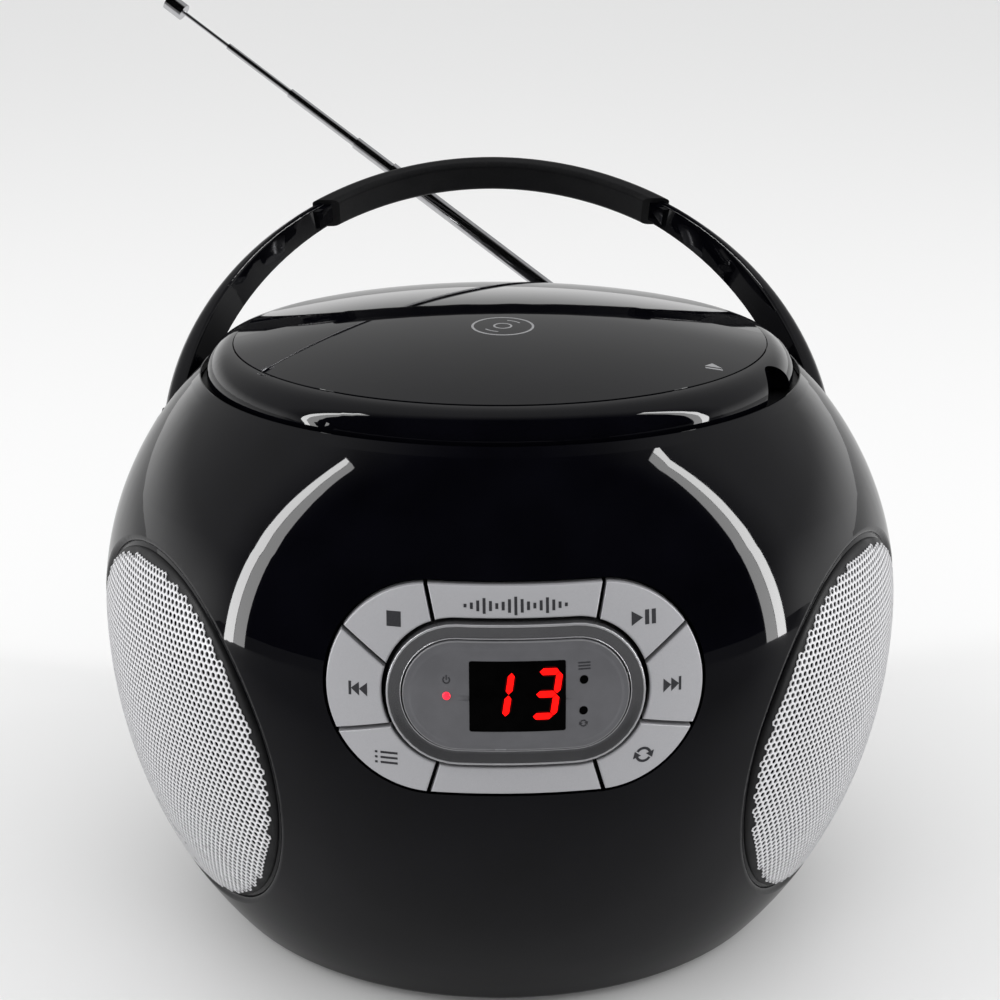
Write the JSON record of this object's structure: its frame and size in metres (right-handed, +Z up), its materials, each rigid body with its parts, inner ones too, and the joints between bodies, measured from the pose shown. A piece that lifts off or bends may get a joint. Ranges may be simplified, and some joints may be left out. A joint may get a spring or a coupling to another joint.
{
  "type": "boombox",
  "caption": "Ball-shaped portable CD boombox with two side grilles, folding carry handle, hinged disc lid, display with a ring of keys and a telescopic antenna.",
  "frame": {"origin": "centre of the plane of the four rubber feet, under the ball's vertical axis", "axes": "+Z up, -Y out of the front panel, +X to the right as seen from the front"},
  "size_m": [0.22, 0.2513, 0.2405],
  "materials": {
    "bezel_grey": "metallic dark grey paint",
    "chrome": "bright chrome plate",
    "cone_black": "pulp cone with rubber surround",
    "gloss_black": "high gloss black ABS",
    "grille_metal": "perforated, satin",
    "matte_black": "fine matt black",
    "pcb_green": "solder mask",
    "red_led": "red epoxy",
    "rubber": "matt",
    "silver_key": "metallic silver paint",
    "smoke_window": "smoked clear plastic",
    "steel": "zinc plated",
    "white_plastic": "moulded acetal"
  },
  "bodies": {
    "root": {"audio_jack": "matte_black", "base_cover": "matte_black", "battery_contacts": "steel", "battery_tray": "matte_black", "case_screws": "steel", "cd_chassis": "matte_black", "cd_deck": "matte_black", "chassis_dampers": "rubber", "dial_window": "smoke_window", "display_bezel": "bezel_grey", "display_window": "smoke_window", "front_shell": "gloss_black", "handle_pivots": "steel", "indicator_leds": "red_led", "key_board": "pcb_green", "led_display": "matte_black", "lid_hinge_pins": "steel", "main_board": "pcb_green", "mains_inlet": "matte_black", "panel_frame": "matte_black", "panel_trim": "silver_key", "rear_panel": "matte_black", "rear_shell": "gloss_black", "rubber_feet": "rubber", "sled_motor": "steel", "speaker_cone_left": "cone_black", "speaker_cone_right": "cone_black", "speaker_frame_left": "steel", "speaker_frame_right": "steel", "speaker_grille_left": "grille_metal", "speaker_grille_right": "grille_metal", "spindle_motor": "steel", "transformer": "steel", "tuner_board": "steel"},
    "lid": {"lid_ring": "gloss_black", "lid_disc": "gloss_black", "disc_clamp": "matte_black"},
    "handle": {"handle_frame": "gloss_black", "handle_grip": "matte_black"},
    "turntable": {"turntable": "matte_black"},
    "pickup": {"optical_sled": "matte_black"},
    "sled_gear": {"sled_gear": "white_plastic"},
    "motor_pinion": {"motor_pinion": "white_plastic"},
    "battery_door": {"battery_door": "matte_black"},
    "volume_knob": {"volume_knob": "matte_black"},
    "tuning_knob": {"tuning_knob": "matte_black"},
    "dial_pointer": {"dial_pointer": "red_led"},
    "function_slider": {"function_slider": "matte_black"},
    "antenna_swivel": {"antenna_base": "matte_black"},
    "antenna_tube_1": {"antenna_tube_1": "chrome"},
    "antenna_tube_2": {"antenna_tube_2": "chrome"},
    "antenna_tube_3": {"antenna_tube_3": "chrome"},
    "antenna_tube_4": {"antenna_tube_4": "chrome"},
    "antenna_tube_5": {"antenna_tube_5": "chrome"},
    "key_stop": {"key_stop": "silver_key"},
    "key_play_pause": {"key_play_pause": "silver_key"},
    "key_previous": {"key_previous": "silver_key"},
    "key_next": {"key_next": "silver_key"},
    "key_program": {"key_program": "silver_key"},
    "key_repeat": {"key_repeat": "silver_key"}
  },
  "joints": [
    {"name": "lid_hinge", "type": "hinge", "parent": "root", "child": "lid", "pos_m": [0, 0.0812, 0.1501], "axis": [1, 0, 0], "range_deg": [-45, 0]},
    {"name": "handle_pivot", "type": "hinge", "parent": "root", "child": "handle", "pos_m": [0, 0.008, 0.1315], "axis": [1, 0, 0], "range_deg": [0, 55]},
    {"name": "key_stop_press", "type": "slide", "parent": "root", "child": "key_stop", "axis": [0, 1, 0], "range_m": [0, 0.0008], "stiffness_N_per_m": 900},
    {"name": "key_play_pause_press", "type": "slide", "parent": "root", "child": "key_play_pause", "axis": [0, 1, 0], "range_m": [0, 0.0008], "stiffness_N_per_m": 900},
    {"name": "key_previous_press", "type": "slide", "parent": "root", "child": "key_previous", "axis": [0, 1, 0], "range_m": [0, 0.0008], "stiffness_N_per_m": 900},
    {"name": "key_next_press", "type": "slide", "parent": "root", "child": "key_next", "axis": [0, 1, 0], "range_m": [0, 0.0008], "stiffness_N_per_m": 900},
    {"name": "key_program_press", "type": "slide", "parent": "root", "child": "key_program", "axis": [0, 1, 0], "range_m": [0, 0.0008], "stiffness_N_per_m": 900},
    {"name": "key_repeat_press", "type": "slide", "parent": "root", "child": "key_repeat", "axis": [0, 1, 0], "range_m": [0, 0.0008], "stiffness_N_per_m": 900},
    {"name": "turntable_spin", "type": "hinge", "parent": "root", "child": "turntable", "pos_m": [0, 0, 0.1465], "axis": [0, 0, 1], "continuous": true},
    {"name": "motor_pinion_spin", "type": "hinge", "parent": "root", "child": "motor_pinion", "pos_m": [0.022, -0.02601, 0.1345], "axis": [0, 0, 1], "range_deg": [-165, 174]},
    {"name": "sled_gear_spin", "type": "hinge", "parent": "root", "child": "sled_gear", "pos_m": [0.034, -0.02601, 0.1345], "axis": [0, 0, 1], "range_deg": [-60, 60]},
    {"name": "pickup_slide", "type": "slide", "parent": "root", "child": "pickup", "axis": [1, 0, 0], "range_m": [-0.0086, 0.0091]},
    {"name": "volume_turn", "type": "hinge", "parent": "root", "child": "volume_knob", "pos_m": [-0.031, 0.1, 0.0905], "axis": [0, 1, 0], "range_deg": [0, 270]},
    {"name": "tuning_turn", "type": "hinge", "parent": "root", "child": "tuning_knob", "pos_m": [0.031, 0.1, 0.0905], "axis": [0, 1, 0], "range_deg": [-150, 150]},
    {"name": "pointer_slide", "type": "slide", "parent": "root", "child": "dial_pointer", "axis": [1, 0, 0], "range_m": [-0.0135, 0.0135]},
    {"name": "function_slide", "type": "slide", "parent": "root", "child": "function_slider", "axis": [1, 0, 0], "range_m": [-0.005, 0.005]},
    {"name": "battery_door_hinge", "type": "hinge", "parent": "root", "child": "battery_door", "pos_m": [0, -0.0474, 0.0034], "axis": [-1, 0, 0], "range_deg": [0, 95]},
    {"name": "antenna_swivel", "type": "hinge", "parent": "root", "child": "antenna_swivel", "pos_m": [0.062, 0.085, 0.1213], "axis": [0, 0, 1], "range_deg": [-150, 0]},
    {"name": "antenna_tilt", "type": "hinge", "parent": "antenna_swivel", "child": "antenna_tube_1", "pos_m": [0.062, 0.085, 0.1213], "axis": [0.3063, 0.9519, 0], "range_deg": [-8, 50]},
    {"name": "antenna_section_2", "type": "slide", "parent": "antenna_tube_1", "child": "antenna_tube_2", "axis": [-0.7877, 0.2534, 0.5616], "range_m": [-0.0143, 0.08]},
    {"name": "antenna_section_3", "type": "slide", "parent": "antenna_tube_2", "child": "antenna_tube_3", "axis": [-0.7877, 0.2534, 0.5616], "range_m": [-0.0267, 0.07]},
    {"name": "antenna_section_4", "type": "slide", "parent": "antenna_tube_3", "child": "antenna_tube_4", "axis": [-0.7877, 0.2534, 0.5616], "range_m": [-0.025, 0.066]},
    {"name": "antenna_section_5", "type": "slide", "parent": "antenna_tube_4", "child": "antenna_tube_5", "axis": [-0.7877, 0.2534, 0.5616], "range_m": [-0.018, 0.062]}
  ],
  "couplings": [
    {"joint": "sled_gear_spin", "follows": "pickup_slide", "rad_per_m": -111.11},
    {"joint": "motor_pinion_spin", "follows": "pickup_slide", "rad_per_m": 333.33},
    {"joint": "pointer_slide", "follows": "tuning_turn", "m_per_rad": 0.004966}
  ]
}
